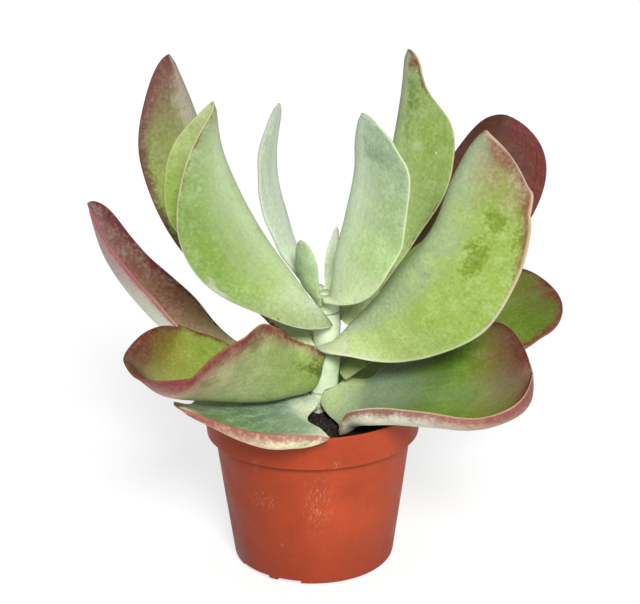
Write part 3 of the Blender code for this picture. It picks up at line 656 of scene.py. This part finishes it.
def add_piece(name, points, faces, material, node):
    """One smooth-shaded piece from points in millimetres that stands for the named node."""
    mesh = bpy.data.meshes.new(name)
    mesh.from_pydata((np.asarray(points) * MM).tolist(), [], [list(map(int, f)) for f in faces])
    mesh.polygons.foreach_set("use_smooth", [True] * len(mesh.polygons))
    mesh.materials.append(material)
    piece = bpy.data.objects.new(name, mesh)
    bpy.context.scene.collection.objects.link(piece)
    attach(piece, "root")
    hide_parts(node)
    return piece


def stem_centre(z):
    """X of the stem's middle at a height."""
    return STEM_X + STEM_LEAN * np.maximum(z - SOIL_TOP, 0)


def through(keys, share):
    """Smooth curve through a few (share, value) keys."""
    at = np.array([k[0] for k in keys], float)
    value = np.array([k[1] for k in keys], float)
    if len(at) == 1:
        return np.full_like(share, value[0])
    slope = np.gradient(value, at)
    i = np.clip(np.searchsorted(at, share) - 1, 0, len(at) - 2)
    span = at[i + 1] - at[i]
    t = np.clip((share - at[i]) / span, 0, 1)
    return ((2 * t**3 - 3 * t**2 + 1) * value[i] + (t**3 - 2 * t**2 + t) * span * slope[i]
            + (3 * t**2 - 2 * t**3) * value[i + 1] + (t**3 - t**2) * span * slope[i + 1])


def along(points, share):
    """Points at shares of the length of a smooth curve through a few points."""
    p = np.array(points, float)
    chord = np.r_[0, np.cumsum(np.linalg.norm(np.diff(p, axis=0), axis=1))]
    chord /= chord[-1]
    fine = np.linspace(0, 1, 201)
    curve = np.stack([through(list(zip(chord, p[:, k])), fine) for k in range(3)], -1)
    length = np.r_[0, np.cumsum(np.linalg.norm(np.diff(curve, axis=0), axis=1))]
    length /= length[-1]
    return np.stack([np.interp(share, length, curve[:, k]) for k in range(3)], -1)


def foot_point(leaf):
    """Point where the midrib leaves the stem."""
    z, turn = leaf["foot"], math.radians(leaf["heading"])
    reach = stem_radius(z) + SEAT_GAP
    return stem_centre(z) + reach * math.cos(turn), reach * math.sin(turn), z


def half_width(half, share, blunt):
    """Half width along the leaf, closed by a rounded tip."""
    t = np.clip((share - half["tip"]) / (1 - half["tip"]), 0, 1)
    return through(half["width"], share) * np.sqrt(1 - t**half.get("blunt", blunt))


def leaf_frame(leaf, share):
    """Midrib points with the direction across the leaf, to the front, and the upper side's normal."""
    centre = along([foot_point(leaf)] + leaf["midrib"], share)
    tangent = np.gradient(centre, share, axis=0)
    tangent /= np.linalg.norm(tangent, axis=1)[:, None]
    heading = math.radians(leaf["heading"])
    out = np.array([math.cos(heading), math.sin(heading), 0])
    side = np.array([math.sin(heading), -math.cos(heading), 0])
    side = -side if side[1] > 0 else side
    across = side - (tangent @ side)[:, None] * tangent
    across /= np.linalg.norm(across, axis=1)[:, None]
    normal = np.cross(across, tangent)
    normal *= np.sign(normal @ (np.array([0, 0, 1.0]) - out))[:, None]
    return centre, across, normal


def stem_radius(z):
    """Radius of the stem at a height."""
    return np.interp(z, [p[1] for p in STEM_PROFILE], [p[0] for p in STEM_PROFILE])


def spread(cols):
    """Shares across one half of a leaf, closer together at the midrib and at the margin."""
    even = np.linspace(0, 1, cols + 1)
    return even - 0.5 * np.sin(2 * math.pi * even) / (2 * math.pi)


def ripple(share, across, seed, height):
    """Slight waves that grow towards the margin."""
    rng = random.Random(seed)
    total = 0
    for count in (2.3, 3.9, 6.1):
        turns = count * share[:, None] + rng.random() + 0.2 * across[None]
        total = total + np.sin(2 * math.pi * turns) / count
    return height * total * np.abs(across[None]) ** 2


def leaf_surface(leaf, rows, cols):
    """Middle surface of a leaf on a grid: shares along it, points, normals and distances to the margin."""
    share = (1 - np.cos(math.pi * np.linspace(0, 1, rows + 1))) / 2
    share[-1] = TIP_END
    rib = leaf_frame(leaf, share)
    front = np.radians(through(leaf["front"]["angle"], share))[:, None]
    back = np.radians(through(leaf["back"]["angle"], share))[:, None]
    middle = (front - back) / 2
    behind = leaf_half(leaf, "back", share, cols, rib, middle, -back)
    before = leaf_half(leaf, "front", share, cols, rib, middle, front)
    points, normals, to_edge = (np.concatenate([b[:, :0:-1], f], 1) for b, f in zip(behind, before))
    return share, points, normals, to_edge


def leaf_half(leaf, name, share, cols, rib, middle, end):
    """One half of a leaf, rolled out from the midrib, where its slope is middle, towards the end slope."""
    half = leaf[name]
    side = 1 if name == "front" else -1
    centre, across, normal = (part[:, None] for part in rib)
    fine = spread(FINER_STEPS * cols)[None]
    width = fine * half_width(half, share, leaf.get("blunt", 2.0))[:, None]
    turn = np.clip(width / leaf.get("bend", BEND_WIDTH), 0, 1)
    curl = side * np.radians(through(half.get("curl", [(0, 0)]), share))[:, None]
    slope = middle + (end - middle) * turn * (2 - turn) + curl * fine**leaf.get("hook", 3)
    step = np.diff(width, axis=1)
    run, rise = (running_sum(f(slope), step)[:, ::FINER_STEPS, None] for f in (np.cos, np.sin))
    slope, width = slope[:, ::FINER_STEPS, None], width[:, ::FINER_STEPS]
    points = centre + side * (run * across + rise * normal)
    return points, np.cos(slope) * normal - np.sin(slope) * across, width[:, -1:] - width


def running_sum(value, step):
    """Sum of a value over steps, from 0 at the start."""
    middle = (value[:, 1:] + value[:, :-1]) / 2
    return np.concatenate([np.zeros((len(value), 1)), np.cumsum(middle * step, 1)], 1)


def seat_leaf(leaf, points):
    """Wrap a leaf's foot round the stem, and keep the leaf clear of the stem, the soil and the rim."""
    x, y, z = points.T
    x = x - stem_centre(z)
    radius = stem_radius(z) + SEAT_GAP
    turn = math.radians(leaf["heading"])
    out, beside = x * math.cos(turn) + y * math.sin(turn), y * math.cos(turn) - x * math.sin(turn)
    away = np.maximum(out - radius, 0)
    hold = np.clip(1 - away / CLASP_REACH, 0, 1)**2 * (z < STEM_TOP)
    hold = hold * np.clip(2 - np.abs(beside) / CLASP_REACH, 0, 1)
    wrapped = turn + beside / radius
    x += hold * ((radius + away) * np.cos(wrapped) - x)
    y = y + hold * ((radius + away) * np.sin(wrapped) - y)
    distance = np.maximum(np.hypot(x, y), 1e-6)
    push = np.maximum(distance, radius * (z < STEM_TOP + GAP)) / distance
    x, y = stem_centre(z) + x * push, y * push
    middle = (c.reshape(2, -1).mean(0) for c in (x, y, z))
    return np.stack([x, y, z + np.tile(lift_leaf(leaf, *middle), 2)], -1)


def lift_leaf(leaf, x, y, z):
    """How far a leaf's middle rises to clear the soil and the pot's rim."""
    lift = np.maximum(SOIL_CROWN + SOIL_CLEARANCE - z, 0)
    if leaf.get("over_rim"):
        from_axis = np.hypot(x, y)
        inside = np.clip((from_axis - POT_TOP_RADIUS + RIM_START) / RIM_RUN, 0, 1)
        outside = np.clip((POT_TOP_RADIUS + 3 * RIM_CLEARANCE - from_axis) / RIM_CLEARANCE, 0, 1)
        lift = np.maximum(lift, inside * outside * (POT_HEIGHT + RIM_CLEARANCE - z))
    return lift


def half_thickness(leaf, share, across):
    """Half of a leaf's thickness over its grid: less towards the tip, and thin at the margins."""
    body = leaf.get("thick", LEAF_THICK) * (1 - TIP_THINNING * share**2)[:, None]
    near_tip = np.clip((1 - share) / TIP_TAPER, TIP_LEFT, 1)[:, None]
    half = (EDGE_THICK + (body - EDGE_THICK) * (1 - np.abs(across[None])**3)) * near_tip / 2
    half[:, [0, -1]] *= MARGIN_LEFT
    return half


def skin_faces(rows, cols):
    """Quads of a leaf's two faces and of the margin between them."""
    index = np.arange(rows * cols).reshape(rows, cols)
    corners = (index[:-1, :-1], index[:-1, 1:], index[1:, 1:], index[1:, :-1])
    a, b, c, d = (corner.ravel() for corner in corners)
    ring = np.r_[index[0, :], index[1:, -1], index[-1, -2::-1], index[-2:0:-1, 0]]
    after = np.roll(ring, -1)
    below = index.size
    return np.concatenate([np.stack([a, b, c, d], -1), np.stack([a, d, c, b], -1) + below,
                           np.stack([ring, ring + below, after + below, after], -1)])


def signed_volume(points, faces):
    """Six times the volume inside quads, below 0 where they face inwards."""
    a, b, c, d = (points[faces[:, k]] for k in range(4))
    one = np.einsum("ij,ij->i", a, np.cross(b, c)).sum()
    return one + np.einsum("ij,ij->i", a, np.cross(c, d)).sum()


def midrib_length(leaf):
    """Length of a leaf's midrib."""
    midrib = along([foot_point(leaf)] + leaf["midrib"], np.linspace(0, 1, 60))
    return np.linalg.norm(np.diff(midrib, axis=0), axis=1).sum()


def make_leaf(name, leaf, seed):
    """Fine piece for one leaf, with the values along and across it that its material uses."""
    rows, cols, wave = LEAF_ROWS, LEAF_COLS, LEAF_WAVE
    if name.startswith(SMALL_PAIR):
        rows, cols, wave = SMALL_ROWS, SMALL_COLS, SMALL_WAVE
    share, middle, normal, to_edge = leaf_surface(leaf, rows, cols)
    across = spread(cols)
    across = np.r_[-across[:0:-1], across]
    middle = middle + normal * ripple(share, across, seed, wave)[..., None]
    half = half_thickness(leaf, share, across)[..., None]
    points = np.concatenate([(middle + side * normal * half).reshape(-1, 3) for side in (1, -1)])
    faces = skin_faces(rows + 1, len(across))
    if signed_volume(points, faces) < 0:
        faces = faces[:, ::-1]
    material = leaf_material(name, float(seed))
    piece = add_piece(name + "_look", seat_leaf(leaf, points), faces, material, name)
    size = to_edge.shape
    set_values(piece, "along", np.tile(np.broadcast_to(share[:, None], size).ravel(), 2))
    set_values(piece, "across", np.tile(np.broadcast_to(across[None], size).ravel(), 2))
    margin = np.minimum(to_edge, (1 - share)[:, None] * midrib_length(leaf))
    set_values(piece, "margin", np.tile(margin.ravel(), 2))
    set_values(piece, "upper", np.repeat([1.0, 0.0], to_edge.size))


def set_values(piece, key, values):
    """One value for each point of a piece, kept under a name."""
    layer = piece.data.attributes.new(key, "FLOAT", "POINT")
    layer.data.foreach_set("value", values.astype(np.float32))


def stack_faces(sides, rings):
    """Faces of a closed solid from a bottom point, a stack of rings and a top point."""
    faces = [[0, 1 + (k + 1) % sides, 1 + k] for k in range(sides)]
    for ring in range(rings - 1):
        low = 1 + ring * sides
        faces += [[low + k, low + (k + 1) % sides, low + (k + 1) % sides + sides, low + k + sides]
                  for k in range(sides)]
    top = 1 + rings * sides
    faces += [[top - sides + k, top - sides + (k + 1) % sides, top] for k in range(sides)]
    return faces


def make_stem():
    """Stem as a stack of rings that follow its lean."""
    turn = np.linspace(0, 2 * math.pi, STEM_SIDES, endpoint=False)
    points = [[stem_centre(STEM_BOTTOM), 0, STEM_BOTTOM]]
    for z in np.linspace(STEM_BOTTOM, STEM_SHOULDER, STEM_RINGS):
        radius = stem_radius(z)
        points += [[stem_centre(z) + radius * math.cos(t), radius * math.sin(t), z] for t in turn]
    points.append([stem_centre(STEM_TOP), 0, STEM_TOP])
    faces = stack_faces(STEM_SIDES, STEM_RINGS)
    add_piece("stem_look", points, faces, stem_material(), "stem")


def make_soil():
    """Soil as a stack of rings: its side, and then its lumpy top from the rim to the middle."""
    rng = random.Random(SOIL_SEED)
    turn = np.linspace(0, 2 * math.pi, SOIL_SIDES, endpoint=False)
    waves = [(rng.uniform(0.3, 1.2), rng.uniform(0, 7), rng.uniform(0, 7)) for _ in range(12)]
    points = [[0, 0, SOIL_BOTTOM]]
    for r, z in ((SOIL_FOOT_RADIUS, SOIL_BOTTOM), (SOIL_WAIST_RADIUS, SOIL_WAIST)):
        points += [[r * math.cos(t), r * math.sin(t), z] for t in turn]
    for r in np.linspace(SOIL_RADIUS, 1.0, SOIL_RINGS):
        for t in turn:
            x, y = r * math.cos(t), r * math.sin(t)
            level = SOIL_TOP + (SOIL_CROWN - SOIL_TOP) * max(0, 1 - (r / SOIL_CROWN_RADIUS) ** 2)
            lumps = sum(math.sin(w * x + p) * math.sin(w * y + q) for w, p, q in waves) * SOIL_LUMP
            points.append([x, y, level + lumps + rng.uniform(-SOIL_CRUMB, SOIL_CRUMB)])
    points.append([0, 0, SOIL_CROWN])
    faces = stack_faces(SOIL_SIDES, SOIL_RINGS + 2)
    add_piece("soil_look", points, faces, soil_material(), "soil")


def finish_pot(pot):
    """Give the carried-over pot its detailed material."""
    material = pot_material()
    for slot in pot.material_slots:
        slot.material = material


def make_stage():
    """Plain pale floor."""
    far, low = FLOOR_REACH, -FLOOR_DROP
    corners = [(-far, -far, low), (far, -far, low), (far, far, low), (-far, far, low)]
    mesh = bpy.data.meshes.new("floor")
    mesh.from_pydata(corners, [], [(0, 1, 2, 3)])
    floor = bpy.data.objects.new("floor", mesh)
    bpy.context.scene.collection.objects.link(floor)
    n = Nodes("floor", 0.9, 0.1)
    n.link(FLOOR_COLOUR, n.shader.inputs["Base Color"])
    n.shader.inputs["Emission Color"].default_value = (1, 1, 1, 1)
    n.shader.inputs["Emission Strength"].default_value = FLOOR_GLOW
    mesh.materials.append(n.material)


def make_light():
    """Even white sky and one soft lamp."""
    world = bpy.data.worlds.new("studio")
    bpy.context.scene.world = world
    world.use_nodes = True
    back = world.node_tree.nodes["Background"]
    back.inputs["Color"].default_value = (1, 1, 1, 1)
    back.inputs["Strength"].default_value = SKY_STRENGTH
    lamp = bpy.data.lights.new("key", "SUN")
    lamp.energy = KEY_STRENGTH
    lamp.angle = math.radians(KEY_SIZE)
    key = bpy.data.objects.new("key", lamp)
    bpy.context.scene.collection.objects.link(key)
    turn, rise = math.radians(KEY_TURN), math.radians(KEY_RISE)
    towards = Vector((math.sin(turn) * math.cos(rise), -math.cos(turn) * math.cos(rise), math.sin(rise)))
    key.rotation_euler = towards.to_track_quat("Z", "Y").to_euler()


def make_camera():
    """Camera where the photograph was taken from."""
    at, aim = Vector(CAMERA_AT) * MM, Vector(CAMERA_AIM) * MM
    back = (at - aim).normalized()
    right = Vector((0, 0, 1)).cross(back).normalized()
    up = back.cross(right)
    roll = math.radians(CAMERA_ROLL)
    cos, sin = math.cos(roll), math.sin(roll)
    right, up = right * cos + up * sin, up * cos - right * sin
    lens = bpy.data.cameras.new("camera")
    lens.lens = CAMERA_LENS
    lens.sensor_width = SENSOR_WIDTH
    camera = bpy.data.objects.new("camera", lens)
    bpy.context.scene.collection.objects.link(camera)
    camera.matrix_world = Matrix.Translation(at) @ Matrix((right, up, back)).transposed().to_4x4()
    bpy.context.scene.camera = camera


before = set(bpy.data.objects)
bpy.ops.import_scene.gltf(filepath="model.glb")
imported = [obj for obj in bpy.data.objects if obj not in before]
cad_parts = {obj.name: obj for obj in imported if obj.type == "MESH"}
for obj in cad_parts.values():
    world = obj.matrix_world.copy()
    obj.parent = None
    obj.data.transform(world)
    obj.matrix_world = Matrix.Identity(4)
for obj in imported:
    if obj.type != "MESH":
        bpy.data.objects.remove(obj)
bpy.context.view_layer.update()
bpy.context.scene.view_settings.view_transform = "Standard"
for seed, (name, leaf) in enumerate(LEAVES.items(), 1):
    make_leaf(name, leaf, seed)
make_stem()
make_soil()
finish_pot(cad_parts["pot"])
make_stage()
make_light()
make_camera()
